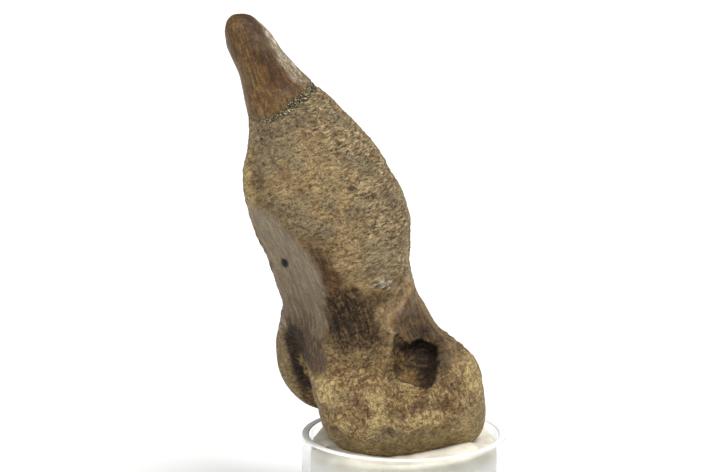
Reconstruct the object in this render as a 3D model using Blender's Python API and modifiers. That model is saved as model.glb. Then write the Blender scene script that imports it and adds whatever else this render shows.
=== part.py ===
"""Fossil dinosaur metatarsal, bedded in putty in a clear display cup.

Built in metres, +Z up. The origin is the centre of the cup's underside, the bone leans
towards -X and its flat side faces -Y. The three nodes stay where they stand.
"""

import bmesh
import bpy
import numpy as np

COLLECTION = "fossil_metatarsal"
MM = 0.001

# Display cup, in millimetres.
CUP_RADIUS = 22.25
CUP_WALL = 1.6
CUP_HEIGHT = 20.0
CUP_EDGE = 0.25
CUP_FILLET = 0.5
CUP_STEPS = 72

# Putty bed, in millimetres. Levels are heights above the cup's rim.
GAP = 0.3
PUTTY_RADIUS = CUP_RADIUS - CUP_WALL - GAP
PUTTY_MIDDLE = -0.9
PUTTY_AT_WALL = -5.5
PUTTY_SHOULDER = 5.0
MOUND_CENTRE = (-11.5, 11.5)
MOUND_HEIGHT = 3.4
MOUND_SPREAD = 5.0
PUTTY_STEPS = 56
PUTTY_RINGS = 13
PUTTY_CROWDING = 0.85  # under 1 draws the rings outwards, where the bone's edge lies
BED_CLEARANCE = GAP + 0.03

# Bone net.
BONE_STEPS = 64
BONE_RINGS = 48
RELAX_ROUNDS = 70

# Bone, in millimetres. Heights are above the cup's rim, the rest is in the part's frame.
RIM = CUP_HEIGHT
SHAFT_HEIGHTS = (8, 14, 20, 24, 28, 31, 34, 38, 43, 48, 53, 58, 63, 68, 73, 78, 83, 85, 86.5)
SHAFT_LEFT = (-18, -22, -24, -26, -26.7, -27.4, -28.3, -29.5, -31.4, -33.2,
              -34.4, -34.6, -33.7, -33.3, -34.2, -35.2, -37.2, -37.95, -38.25)
SHAFT_RIGHT = (8, 9.5, 8.7, 6.6, 4.5, 2.8, 1.8, 1.2, 1.3, 1.0,
               -0.3, -3.0, -5.8, -10.3, -15.4, -20.9, -25.2, -26.7, -27.6)
SHAFT_MIDDLE_Y = (2, 3, 3, 2.7, 2.4, 2.0, 1.2, 0.6, 0.5, 0.5,
                  0.5, 0.5, 0.7, 1.0, 1.5, 2.0, 2.2, 2.3, 2.4)
SHAFT_HALF_DEPTH = (12, 12, 11, 10.4, 10.0, 10.0, 10.4, 10.9, 11.2, 11.2,
                    10.8, 10.2, 9.4, 8.4, 7.0, 5.8, 5.0, 4.75, 4.55)
SHAFT_SQUARENESS = 2.4
SHAFT_TOP_DOME = 5.2
SHAFT_FOOT_DOME = 8.0

# Long hollow down the left side, cut by a leaning round bar.
FACET_RADIUS = 26.0
FACET_HEIGHTS = (-2, 6, 11, 15, 20, 27, 31.5, 36.5, 43, 49.5, 55)
FACET_X = (-61, -52.5, -46.3, -42.3, -40.7, -39.3, -39.1, -40.7, -45.0, -50.6, -57)
FACET_Y = (-26, -23, -20, -18.9, -18.7, -19.4, -21.6, -22.8, -23.0, -22.8, -22.5)
FACET_SOFTNESS = 2.0
BAR_SLOPE = 0.85  # a bar that leans is nearer than its level distance says

# Flat on the right of the head, cut in the same way.
HEAD_FLAT_RADIUS = 18.0
HEAD_FLAT_HEIGHTS = (66, 72, 77, 82, 88, 94)
HEAD_FLAT_X = (9.0, -1.0, -7.0, -9.6, -14.2, -18.2)
HEAD_FLAT_Y = (-24.0, -18.0, -11.5, -6.9, -6.0, -6.0)
HEAD_FLAT_SOFTNESS = 0.6

# Rounded forms: centre, half sizes, squareness, and how softly each meets the rest.
NEAR_CONDYLE = ((-4.1, -7, 10.7), (14.6, 10.0, 14.4), 2.4, 0)
NEAR_CONDYLE_LOBE = ((5.2, -2, 9.2), (11.9, 13.0, 11.8), 2.4, 3.0)
FAR_CONDYLE = ((-12.5, 11.2, 16.2), (15.6, 7.8, 14.6), 2.2, 1.0)
WEB = ((-8.0, 3.0, 12.4), (13.0, 8.0, 13.2), 2.0, 1.5)
NUB = ((-16.2, -8.2, 11.4), (3.4, 4.6, 3.6), 2.0, 1.2)
CONDYLES_TO_SHAFT = 4.0

# Hollows of the same kind: the neck's recess, the slope into the pit, the far dish.
NECK_RECESS = ((-11.0, -21.2, 26.6), (10.5, 15.0, 11.0), 2.0, 5.0)
PIT_SLOPE = ((4.2, -11.0, 24.0), (4.6, 8.0, 4.6), 2.0, 2.5)
FAR_DISH = ((-12.0, 23.5, 17.0), (6.5, 6.5, 6.5), 2.0, 4.0)

# Grooves and ridges: upper end, lower end, radius at each, and softness.
MARGIN_GROOVE = ((-34.2, -4.6, 72), (-32.6, -8.2, 52), 1.2, 2.3, 1.4)
NECK_VALLEY = ((4.8, -11.0, 32), (3.0, -13.0, 24), 3.0, 4.0, 2.5)
NECK_RIDGE = ((0.2, -2.8, 32.0), (-2.4, -5.5, 27.0), 1.0, 1.6, 3.0)
NECK_RIDGE_FOOT = ((-2.4, -5.5, 27.0), (-3.0, -10.6, 20.5), 1.6, 1.4, 3.0)

# Groove inside the far condyle's rim, deeper than it is wide, cut as a solid.
RIM_GROOVE_UPPER = (-24.6, 0.0, 20.5)
RIM_GROOVE_LOWER = (-19.2, 0.0, 4.5)
RIM_GROOVE_RADII = (1.5, 2.3)
RIM_GROOVE_DEPTH = 2.5  # half depth over half width

# Collateral pit in the near condyle's side, cut as a solid.
PIT_CENTRE = (2.8, -13.0, 18.6)
PIT_RADII = (4.6, 7.5, 5.7)
PIT_TURN_Y = 28.0
PIT_TURN_Z = 15.0
CUTTER_STEPS = 24
CUTTER_RINGS = 14

# Line up the middle of the bone from which its net is laid out.
CORE_HEIGHTS = (10, 20, 30, 45, 60, 75, 86.5)
CORE_X = (-7, -8.5, -11.5, -15.5, -18.5, -27.0, -32.8)
CORE_Y = (1.5, 2, 2, 1, 1, 1.8, 2.4)
HEAD_FAN = 0.12
FOOT_FAN = 0.20


def curve(at, knots, values):
    """Smooth curve through the values at the knots, straight on past both ends."""
    knots = np.asarray(knots, float)
    values = np.asarray(values, float)
    slopes = np.gradient(values, knots)
    inside = np.clip(at, knots[0], knots[-1])
    left = np.clip(np.searchsorted(knots, inside) - 1, 0, len(knots) - 2)
    width = knots[left + 1] - knots[left]
    t = (inside - knots[left]) / width
    bend = (2*t**3 - 3*t**2 + 1)*values[left] + (t**3 - 2*t**2 + t)*width*slopes[left]
    bend = bend + (3*t**2 - 2*t**3)*values[left + 1] + (t**3 - t**2)*width*slopes[left + 1]
    past = at - inside
    return bend + past*np.where(past > 0, slopes[-1], slopes[0])


def join(a, b, softness):
    """Union of two fields with the corner between them filled."""
    share = np.clip(0.5 + 0.5*(b - a)/softness, 0, 1)
    return b + (a - b)*share - softness*share*(1 - share)


def carve(a, b, softness):
    """First field with the second one cut away, the edge eased."""
    return -join(-a, b, softness)


def above_rim(point):
    """Point whose height is given above the cup's rim, in the part's frame."""
    return np.asarray(point, float) + (0, 0, RIM)


def ellipsoid(points, form):
    """Field of a rounded form; a squareness over 2 squares it up."""
    centre, radii, squareness, _ = form
    radii = np.asarray(radii, float)
    local = (points - above_rim(centre)) / radii
    size = (np.abs(local)**squareness).sum(-1)**(1/squareness)
    if squareness > 2.0:
        return (size - 1) * radii.min()
    slope = np.linalg.norm(local/radii, axis=-1)
    return (size - 1) * size / np.maximum(slope, 1e-6)


def groove(points, form):
    """Field of a round-ended bar between two points."""
    upper, lower, upper_radius, lower_radius, _ = form
    start = above_rim(upper)
    along = above_rim(lower) - start
    share = np.clip((points - start) @ along / (along @ along), 0, 1)
    away = np.linalg.norm(points - start - share[..., None]*along, axis=-1)
    return away - (upper_radius + share*(lower_radius - upper_radius))


def leaning_bar(points, heights, xs, ys, radius):
    """Field of a tall round bar whose centre moves with height, eased for its lean."""
    lift = np.asarray(heights, float) + RIM
    z = np.clip(points[..., 2], lift[0], lift[-1])
    away_x = points[..., 0] - curve(z, lift, xs)
    away_y = points[..., 1] - curve(z, lift, ys)
    return BAR_SLOPE * (np.hypot(away_x, away_y) - radius)


def shaft(points):
    """Field of the head and shaft: level sections are squared ellipses, both ends domed."""
    heights = np.asarray(SHAFT_HEIGHTS, float) + RIM
    z = points[..., 2]
    left = curve(z, heights, SHAFT_LEFT)
    right = curve(z, heights, SHAFT_RIGHT)
    half_width = np.maximum((right - left)/2, 1.0)
    half_depth = np.maximum(curve(z, heights, SHAFT_HALF_DEPTH), 1.0)
    across = np.abs(points[..., 0] - (left + right)/2) / half_width
    deep = np.abs(points[..., 1] - curve(z, heights, SHAFT_MIDDLE_Y)) / half_depth
    past = np.maximum(z - heights[-1], 0)/SHAFT_TOP_DOME + np.maximum(heights[0] - z, 0)/SHAFT_FOOT_DOME
    size = (across**SHAFT_SQUARENESS + deep**SHAFT_SQUARENESS + past**2)**(1/SHAFT_SQUARENESS)
    return (size - 1) * np.minimum(half_width, half_depth)


def wander(points):
    """Slow sideways drift of up to half a millimetre, so that broken edges aren't round."""
    x, y, z = np.moveaxis(points, -1, 0)
    drift_x = np.sin(0.71*z + 0.9*np.sin(0.53*y)) + 0.8*np.sin(1.13*y + 0.37*x + 1.0)
    drift_y = np.sin(0.67*x + 0.7*np.sin(0.61*z) + 2.0) + 0.8*np.sin(1.07*z - 0.41*x)
    drift_z = np.sin(0.73*x + 0.8*np.sin(0.57*y) + 4.0) + 0.8*np.sin(1.19*x + 0.43*y + 3.0)
    return 0.30 * np.stack([drift_x, drift_y, drift_z], -1)


def bone(points):
    """Field of the whole bone but its pit and rim groove: under zero inside, zero on its surface."""
    drifted = points + wander(points)
    head_flat = leaning_bar(points, HEAD_FLAT_HEIGHTS, HEAD_FLAT_X, HEAD_FLAT_Y, HEAD_FLAT_RADIUS)
    form = carve(shaft(points), head_flat, HEAD_FLAT_SOFTNESS)
    form = carve(form, groove(points, MARGIN_GROOVE), MARGIN_GROOVE[-1])

    ends = ellipsoid(points, NEAR_CONDYLE)
    for lobe in (NEAR_CONDYLE_LOBE, FAR_CONDYLE, WEB, NUB):
        ends = join(ends, ellipsoid(points, lobe), lobe[-1])
    form = join(form, ends, CONDYLES_TO_SHAFT)

    facet = leaning_bar(points, FACET_HEIGHTS, FACET_X, FACET_Y, FACET_RADIUS)
    form = carve(form, facet, FACET_SOFTNESS)
    for hollow in (NECK_RECESS, FAR_DISH):
        form = carve(form, ellipsoid(points, hollow), hollow[-1])
    for ridge in (NECK_RIDGE, NECK_RIDGE_FOOT):
        form = join(form, groove(drifted, ridge), ridge[-1])
    form = carve(form, groove(drifted, NECK_VALLEY), NECK_VALLEY[-1])
    return carve(form, ellipsoid(drifted, PIT_SLOPE), PIT_SLOPE[-1])


def pit_points(unit):
    """Corners of the pit's cutter: a unit sphere stretched, turned, placed and drifted."""
    about_y, about_z = np.radians([PIT_TURN_Y, PIT_TURN_Z])
    x, y, z = np.moveaxis(unit * np.asarray(PIT_RADII, float), -1, 0)
    x, z = x*np.cos(about_y) + z*np.sin(about_y), z*np.cos(about_y) - x*np.sin(about_y)
    x, y = x*np.cos(about_z) - y*np.sin(about_z), y*np.cos(about_z) + x*np.sin(about_z)
    points = np.stack([x, y, z], -1) + above_rim(PIT_CENTRE)
    return points - wander(points)


def rim_groove_points(unit):
    """Corners of the rim groove's cutter: a deep sphere pulled apart into a leaning bar."""
    is_upper = (unit[:, 2] >= 0)[:, None]
    radius = np.where(is_upper, *RIM_GROOVE_RADII)
    middle = np.where(is_upper, above_rim(RIM_GROOVE_UPPER), above_rim(RIM_GROOVE_LOWER))
    return middle + radius*unit*(1, RIM_GROOVE_DEPTH, 1)


def slopes(field, points):
    """Gradient of a field by central differences."""
    reach = 0.05
    steps = np.eye(3) * reach
    return np.stack([field(points + step) - field(points - step) for step in steps], -1) / (2*reach)


def settle(field, points):
    """Points moved straight onto the surface of a field, at most 1 mm."""
    slope = slopes(field, points)
    steepness = np.maximum(np.linalg.norm(slope, axis=-1), 0.2)
    distance = np.clip(field(points)/steepness, -1, 1)
    return points - (distance/steepness)[:, None]*slope


def core_rays(unit):
    """Where rays for the net start inside the bone, and which way each one runs.

    The middle rings start from the core line and run level. The first and last rings fan out
    from that line's two ends.
    """
    turn = np.arccos(np.clip(unit[:, 2], -1, 1)) / np.pi
    along = np.clip((turn - HEAD_FAN)/(1 - FOOT_FAN - HEAD_FAN), 0, 1)
    heights = np.asarray(CORE_HEIGHTS, float) + RIM
    height = heights[-1] - along*(heights[-1] - heights[0])
    start = np.stack([curve(height, heights, CORE_X), curve(height, heights, CORE_Y), height], -1)
    up = np.clip((HEAD_FAN - turn)/HEAD_FAN, 0, 1) * np.pi/2
    down = np.clip((turn - 1 + FOOT_FAN)/FOOT_FAN, 0, 1) * np.pi/2
    level = np.linalg.norm(unit[:, :2], axis=1)
    flat = unit[:, :2] / np.maximum(level, 1e-9)[:, None]
    way = np.concatenate([flat*np.cos(up - down)[:, None], np.sin(up - down)[:, None]], 1)
    return start, way


def first_crossing(field, start, way):
    """Where each ray first leaves the field, found by stepping and then by halving."""
    reach, steps, halvings = 45.0, 110, 18
    near = np.zeros(len(start))
    far = np.full(len(start), reach)
    looking = np.ones(len(start), bool)
    for step in np.linspace(0, reach, steps)[1:]:
        outside = field(start + step*way) > 0
        far = np.where(looking & outside, step, far)
        looking = looking & ~outside
        near = np.where(looking, step, near)
    for _ in range(halvings):
        middle = (near + far)/2
        outside = field(start + middle[:, None]*way) > 0
        far = np.where(outside, middle, far)
        near = np.where(outside, near, middle)
    return start + ((near + far)/2)[:, None]*way


def relax(field, points, edges, rounds):
    """Net evened out: each point drifts towards its neighbours' mean and settles back."""
    pull = 0.6
    ends = np.concatenate([edges, edges[:, ::-1]])
    count = np.bincount(ends[:, 0], minlength=len(points))[:, None]
    for _ in range(rounds):
        total = np.zeros_like(points)
        np.add.at(total, ends[:, 0], points[ends[:, 1]])
        points = settle(field, points + pull*(total/count - points))
    return settle(field, points)


def add_node(name, mesh, colour, roughness, collection, transmission=0.0):
    """Object with its own Principled material."""
    node = bpy.data.objects.new(name, mesh)
    material = bpy.data.materials.new(name)
    material.use_nodes = True
    shader = material.node_tree.nodes["Principled BSDF"]
    shader.inputs["Base Color"].default_value = (*colour, 1.0)
    shader.inputs["Roughness"].default_value = roughness
    shader.inputs["Transmission Weight"].default_value = transmission
    mesh.materials.append(material)
    collection.objects.link(node)
    return node


def add_cutter(name, mesh, cutters):
    """Object used only to cut a node."""
    cutter = bpy.data.objects.new(name, mesh)
    cutter.hide_render = True
    cutter.display_type = "WIRE"
    cutters.objects.link(cutter)
    return cutter


def add_cut(node, cutter):
    """Boolean difference of a cutter from a node."""
    cut = node.modifiers.new(cutter.name, "BOOLEAN")
    cut.operation = "DIFFERENCE"
    cut.solver = "EXACT"
    cut.object = cutter


def sphere_net(name, steps, rings):
    """Unit sphere of the given steps and rings, its corners and its edges as arrays."""
    work = bmesh.new()
    bmesh.ops.create_uvsphere(work, u_segments=steps, v_segments=rings, radius=1.0)
    mesh = bpy.data.meshes.new(name)
    work.to_mesh(mesh)
    work.free()
    unit = np.empty(len(mesh.vertices)*3)
    mesh.vertices.foreach_get("co", unit)
    edges = np.empty(len(mesh.edges)*2, int)
    mesh.edges.foreach_get("vertices", edges)
    return mesh, unit.reshape(-1, 3), edges.reshape(-1, 2)


def place(mesh, points):
    """Corners of a mesh set to points given in millimetres."""
    mesh.vertices.foreach_set("co", (points*MM).ravel())
    mesh.update()


def smooth(mesh):
    """All faces shaded smooth."""
    for face in mesh.polygons:
        face.use_smooth = True


def make_bone(collection, cutters):
    """The bone and, a gap larger all round, the cutter that shapes its bed."""
    mesh, unit, edges = sphere_net("metatarsal", BONE_STEPS, BONE_RINGS)
    points = first_crossing(bone, *core_rays(unit))
    points = relax(bone, points, edges, RELAX_ROUNDS)
    place(mesh, points)
    smooth(mesh)
    node = add_node("metatarsal", mesh, (0.24, 0.17, 0.095), 0.55, collection)
    for name, shape in (("pit_cutter", pit_points), ("rim_groove_cutter", rim_groove_points)):
        tool, tool_unit, _ = sphere_net(name, CUTTER_STEPS, CUTTER_RINGS)
        place(tool, shape(tool_unit))
        add_cut(node, add_cutter(name, tool, cutters))

    outward = slopes(bone, points)
    outward = outward / np.linalg.norm(outward, axis=1, keepdims=True)
    bed = mesh.copy()
    place(bed, points + BED_CLEARANCE*outward)
    return add_cutter("bone_bed_cutter", bed, cutters)


def putty_level(x, y):
    """Top of the putty above the rim: flat in the middle, low at the wall, a mound behind."""
    from_wall = PUTTY_RADIUS - np.hypot(x, y)
    share = np.clip(from_wall/PUTTY_SHOULDER, 0, 1)
    share = share*share*(3 - 2*share)
    level = PUTTY_AT_WALL + share*(PUTTY_MIDDLE - PUTTY_AT_WALL)
    spread = np.hypot(x - MOUND_CENTRE[0], y - MOUND_CENTRE[1]) / MOUND_SPREAD
    return level + share*MOUND_HEIGHT*np.exp(-spread**2)


def make_putty(collection, cutter):
    """Putty bed: a sphere's net laid out as top, side and flat underside, cut by the bone."""
    mesh, unit, _ = sphere_net("putty", PUTTY_STEPS, PUTTY_RINGS)
    turn = np.arccos(np.clip(unit[:, 2], -1, 1)) / np.pi * PUTTY_RINGS
    around = np.arctan2(unit[:, 1], unit[:, 0])
    last_top_ring = PUTTY_RINGS - 2
    ring = np.round(turn)
    out = np.clip(ring/last_top_ring, 0, 1)**PUTTY_CROWDING
    is_foot = ring > last_top_ring
    radius = np.where(ring == PUTTY_RINGS, 0.0, PUTTY_RADIUS*out)
    x = radius*np.cos(around)
    y = radius*np.sin(around)
    z = np.where(is_foot, CUP_WALL + GAP, RIM + putty_level(x, y))
    place(mesh, np.stack([x, y, z], -1))
    smooth(mesh)
    add_cut(add_node("putty", mesh, (0.72, 0.68, 0.58), 0.7, collection), cutter)


def make_cup(collection):
    """Clear cup, turned: a flat floor and an upright wall with eased lips."""
    inner = CUP_RADIUS - CUP_WALL
    outline = (
        (0.0, CUP_WALL),
        (inner - CUP_FILLET, CUP_WALL),
        (inner, CUP_WALL + CUP_FILLET),
        (inner, CUP_HEIGHT - CUP_EDGE),
        (inner + CUP_EDGE, CUP_HEIGHT),
        (CUP_RADIUS - CUP_EDGE, CUP_HEIGHT),
        (CUP_RADIUS, CUP_HEIGHT - CUP_EDGE),
        (CUP_RADIUS, CUP_EDGE),
        (CUP_RADIUS - CUP_EDGE, 0.0),
        (0.0, 0.0),
    )
    mesh = bpy.data.meshes.new("display_cup")
    corners = [(x*MM, 0.0, z*MM) for x, z in outline]
    mesh.from_pydata(corners, [(i, i + 1) for i in range(len(corners) - 1)], [])
    node = add_node("display_cup", mesh, (0.93, 0.94, 0.92), 0.06, collection, transmission=1.0)
    turn = node.modifiers.new("turned", "SCREW")
    turn.axis = "Z"
    turn.steps = CUP_STEPS
    turn.render_steps = CUP_STEPS
    turn.use_merge_vertices = True
    turn.merge_threshold = 0.00005


def clear_scene():
    """Everything that the scene starts with, taken out."""
    for item in list(bpy.data.objects):
        bpy.data.objects.remove(item, do_unlink=True)


clear_scene()
nodes = bpy.data.collections.new(COLLECTION)
cutters = bpy.data.collections.new("cutters")
bpy.context.scene.collection.children.link(nodes)
bpy.context.scene.collection.children.link(cutters)
bed_cutter = make_bone(nodes, cutters)
make_putty(nodes, bed_cutter)
make_cup(nodes)
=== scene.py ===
"""Fossil dinosaur metatarsal, bedded in putty in a clear display cup: the dressed model."""

import bpy
import numpy as np
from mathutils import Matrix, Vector


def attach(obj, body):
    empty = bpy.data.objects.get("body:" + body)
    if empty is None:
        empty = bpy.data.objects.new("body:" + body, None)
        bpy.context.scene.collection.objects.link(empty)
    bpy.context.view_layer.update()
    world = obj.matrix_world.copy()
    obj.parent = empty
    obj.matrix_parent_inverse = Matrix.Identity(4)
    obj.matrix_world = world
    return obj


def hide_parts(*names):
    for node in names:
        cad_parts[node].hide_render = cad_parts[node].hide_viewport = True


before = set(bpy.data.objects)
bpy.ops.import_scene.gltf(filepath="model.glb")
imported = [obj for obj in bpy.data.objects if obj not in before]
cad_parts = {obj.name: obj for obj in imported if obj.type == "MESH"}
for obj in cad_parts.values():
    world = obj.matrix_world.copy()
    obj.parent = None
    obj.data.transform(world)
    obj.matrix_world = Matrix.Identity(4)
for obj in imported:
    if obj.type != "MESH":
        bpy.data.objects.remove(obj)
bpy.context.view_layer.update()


# ---------------------------------------------------------------------------
# Metatarsal.
# A foot bone, now stone right through: a tapering head, a flattened shaft with a long smooth
# hollow down one side, and two rollers at the lower end. It was freed from rock and mended once.
# Lengths are millimetres, and heights are above the cup's rim, where the bone leaves its bed.
# ---------------------------------------------------------------------------

MM = 0.001
RIM = 20.0

SHAFT_HEIGHTS = (8, 14, 20, 24, 28, 31, 34, 38, 43, 48, 53, 58, 63, 68, 73, 78, 83, 85, 86.5)
SHAFT_LEFT = (-18, -22, -24, -26, -26.7, -27.4, -28.3, -29.5, -31.4, -33.2,
              -34.4, -34.6, -33.7, -33.3, -34.2, -35.2, -37.2, -37.95, -38.25)
SHAFT_RIGHT = (8, 9.5, 8.7, 6.6, 4.5, 2.8, 1.8, 1.2, 1.3, 1.0,
               -0.3, -3.0, -5.8, -10.3, -15.4, -20.9, -25.2, -26.7, -27.6)
SHAFT_MIDDLE_Y = (2, 3, 3, 2.7, 2.4, 2.0, 1.2, 0.6, 0.5, 0.5,
                  0.5, 0.5, 0.7, 1.0, 1.5, 2.0, 2.2, 2.3, 2.4)
SHAFT_HALF_DEPTH = (12, 12, 11, 10.4, 10.0, 10.0, 10.4, 10.9, 11.2, 11.2,
                    10.8, 10.2, 9.4, 8.4, 7.0, 5.8, 5.0, 4.75, 4.55)
SHAFT_SQUARENESS = 2.4
SHAFT_TOP_DOME = 5.2
SHAFT_FOOT_DOME = 8.0

# The long hollow and the flat on the head are cut by tall round bars that lean with the bone.
FACET_RADIUS = 26.0
FACET_HEIGHTS = (-2, 6, 11, 15, 20, 27, 31.5, 36.5, 43, 49.5, 55)
FACET_X = (-61, -52.5, -46.3, -42.3, -40.7, -39.3, -39.1, -40.7, -45.0, -50.6, -57)
FACET_Y = (-26, -23, -20, -18.9, -18.7, -19.4, -21.6, -22.8, -23.0, -22.8, -22.5)
FACET_SOFTNESS = 2.0

HEAD_FLAT_RADIUS = 18.0
HEAD_FLAT_HEIGHTS = (66, 72, 77, 82, 88, 94)
HEAD_FLAT_X = (9.0, -1.0, -7.0, -9.6, -13.1, -17.6)
HEAD_FLAT_Y = (-24.0, -18.0, -11.5, -6.9, -3.0, -2.4)
HEAD_FLAT_SOFTNESS = 0.6
BAR_SLOPE = 0.85

# Rounded forms: centre, half sizes, squareness, and how softly each meets what came before.
NEAR_CONDYLE = ((-4.1, -7, 10.7), (14.6, 10.0, 14.4), 2.4, 0)
NEAR_CONDYLE_LOBE = ((5.2, -2, 9.2), (11.9, 13.0, 11.8), 2.4, 3.0)
NEAR_CONDYLE_HEEL = ((10.2, -3.5, 5.0), (6.9, 8.5, 6.6), 2.2, 1.5)
FAR_CONDYLE = ((-12.5, 11.2, 16.2), (15.6, 7.8, 14.6), 2.2, 1.0)
WEB = ((-8.0, 3.0, 12.4), (13.0, 8.0, 13.2), 2.0, 1.5)
CONDYLES_TO_SHAFT = 4.0
NUB = ((-16.2, -8.2, 11.4), (3.4, 4.6, 3.6), 2.0, 1.2)

# Hollows of the same kind. The pit has a notch at its upper left and a lobe at its upper right.
NECK_RECESS = ((-11.0, -21.2, 26.6), (10.5, 15.0, 11.0), 2.0, 5.0)
FAR_DISH = ((-12.0, 23.5, 17.0), (6.5, 6.5, 6.5), 2.0, 4.0)
PIT_SLOPE = ((4.2, -11.0, 24.0), (4.6, 8.0, 4.6), 2.0, 2.5)
PIT_APRON = ((-0.4, -15.6, 15.2), (4.4, 4.2, 3.6), 2.0, 2.0)
PIT_NOTCH = ((-0.5, -12.5, 21.6), (2.2, 5.0, 3.5), 2.0, 0.4)
PIT_LOBE = ((4.1, -6.3, 19.4), (3.0, 3.8, 2.4), 2.0, 1.2)
FORAMEN = ((-25.8, -2.9, 38.3), (0.72, 1.2, 1.05), 2.0, 0.15)
SLIT = ((-11.2, -9.7, 56.1), (1.1, 0.7, 0.4), 2.0, 0.15)

# Grooves and ridges: upper end, lower end, radius at each, and softness.
MARGIN_GROOVE = ((-34.2, -4.6, 72), (-32.6, -8.2, 52), 1.2, 2.3, 1.4)
CRESCENT_GROOVE = ((-24.6, 0.0, 20.5), (-19.2, 0.0, 4.5), 1.5, 2.3, 1.2)
CRESCENT_FLATNESS = 0.4
NECK_VALLEY = ((4.8, -11.0, 32), (3.0, -13.0, 24), 3.0, 4.0, 2.5)
NECK_RIDGE = ((0.2, -2.8, 32.0), (-2.4, -5.5, 27.0), 1.0, 1.6, 3.0)
NECK_RIDGE_FOOT = ((-2.4, -5.5, 27.0), (-3.0, -10.6, 20.5), 1.6, 1.4, 3.0)

# The pit in the near roller's side: turns in degrees, and how much its rim wanders.
PIT_CENTRE = (2.8, -13.0, 18.9)
PIT_RADII = (4.6, 7.5, 5.3)
PIT_TURN_Y = 28.0
PIT_TURN_Z = 15.0
PIT_SOFTNESS = 0.5
PIT_DRIFT = 0.6
WANDER = 0.30


def curve(at, knots, values):
    """Cubic through the values at the knots, with the mean slope at each, straight on past both ends."""
    knots = np.asarray(knots, float)
    values = np.asarray(values, float)
    slopes = np.gradient(values, knots)
    inside = np.clip(at, knots[0], knots[-1])
    left = np.clip(np.searchsorted(knots, inside) - 1, 0, len(knots) - 2)
    width = knots[left + 1] - knots[left]
    t = (inside - knots[left]) / width
    bend = (2*t**3 - 3*t**2 + 1)*values[left] + (t**3 - 2*t**2 + t)*width*slopes[left]
    bend = bend + (3*t**2 - 2*t**3)*values[left + 1] + (t**3 - t**2)*width*slopes[left + 1]
    past = at - inside
    return bend + past*np.where(past > 0, slopes[-1], slopes[0])


def join(a, b, softness):
    """Union of two fields: the lesser, blended by a parabola where they are within the softness."""
    share = np.clip(0.5 + 0.5*(b - a)/softness, 0, 1)
    return b + (a - b)*share - softness*share*(1 - share)


def carve(a, b, softness):
    """First field with the second cut away, its edge eased by the same parabola."""
    return -join(-a, b, softness)


def above_rim(point):
    """Point whose height is given above the cup's rim, in the part's frame."""
    return np.asarray(point, float) + (0, 0, RIM)


def rounded(points, form):
    """Field of a rounded form: the squareness-norm of the offsets over the half sizes, less one, made
    a length by the least half size or, for a plain ellipsoid, by the norm's own slope."""
    centre, radii, squareness, _ = form
    radii = np.asarray(radii, float)
    local = (points - above_rim(centre)) / radii
    size = (np.abs(local)**squareness).sum(-1)**(1/squareness)
    if squareness > 2.0:
        return (size - 1) * radii.min()
    slope = np.linalg.norm(local/radii, axis=-1)
    return (size - 1) * size / np.maximum(slope, 1e-6)


def channel(points, form):
    """Field of a round-ended bar: the distance from a line, less a radius that changes along it."""
    upper, lower, upper_radius, lower_radius, _ = form
    start = above_rim(upper)
    along = above_rim(lower) - start
    share = np.clip((points - start) @ along / (along @ along), 0, 1)
    away = np.linalg.norm(points - start - share[..., None]*along, axis=-1)
    return away - (upper_radius + share*(lower_radius - upper_radius))


def crescent_slot(points):
    """Field of the groove inside the far roller's rim: a bar three times as deep as it is wide."""
    upper, lower, *rest = CRESCENT_GROOVE
    flat = (1, CRESCENT_FLATNESS, 1)
    return channel(points*flat, (np.multiply(upper, flat), np.multiply(lower, flat), *rest))


def leaning_bar(points, heights, xs, ys, radius):
    """Field of a tall round bar: level distance from a centre that moves with height, less its radius,
    and eased by a slope, because the bar leans."""
    lift = np.asarray(heights, float) + RIM
    z = np.clip(points[..., 2], lift[0], lift[-1])
    away_x = points[..., 0] - curve(z, lift, xs)
    away_y = points[..., 1] - curve(z, lift, ys)
    return BAR_SLOPE * (np.hypot(away_x, away_y) - radius)


def facet_bar(points):
    """Field of the bar that cuts the long smooth hollow down the left side."""
    return leaning_bar(points, FACET_HEIGHTS, FACET_X, FACET_Y, FACET_RADIUS)


def head_flat_bar(points):
    """Field of the bar that cuts the flat on the right of the head."""
    return leaning_bar(points, HEAD_FLAT_HEIGHTS, HEAD_FLAT_X, HEAD_FLAT_Y, HEAD_FLAT_RADIUS)


def shaft(points):
    """Head and shaft: each level section is a squared ellipse between the left and right curves, and
    both ends are domed by adding the square of the height past them."""
    heights = np.asarray(SHAFT_HEIGHTS, float) + RIM
    z = points[..., 2]
    left = curve(z, heights, SHAFT_LEFT)
    right = curve(z, heights, SHAFT_RIGHT)
    half_width = np.maximum((right - left)/2, 1.0)
    half_depth = np.maximum(curve(z, heights, SHAFT_HALF_DEPTH), 1.0)
    across = np.abs(points[..., 0] - (left + right)/2) / half_width
    deep = np.abs(points[..., 1] - curve(z, heights, SHAFT_MIDDLE_Y)) / half_depth
    past = np.maximum(z - heights[-1], 0)/SHAFT_TOP_DOME + np.maximum(heights[0] - z, 0)/SHAFT_FOOT_DOME
    size = (across**SHAFT_SQUARENESS + deep**SHAFT_SQUARENESS + past**2)**(1/SHAFT_SQUARENESS)
    return (size - 1) * np.minimum(half_width, half_depth)


def wander(points):
    """Drift of up to half a millimetre made of crossed sines, so that broken edges aren't round."""
    x, y, z = np.moveaxis(points, -1, 0)
    drift_x = np.sin(0.71*z + 0.9*np.sin(0.53*y)) + 0.8*np.sin(1.13*y + 0.37*x + 1.0)
    drift_y = np.sin(0.67*x + 0.7*np.sin(0.61*z) + 2.0) + 0.8*np.sin(1.07*z - 0.41*x)
    drift_z = np.sin(0.73*x + 0.8*np.sin(0.57*y) + 4.0) + 0.8*np.sin(1.19*x + 0.43*y + 3.0)
    return WANDER * np.stack([drift_x, drift_y, drift_z], -1)


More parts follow.
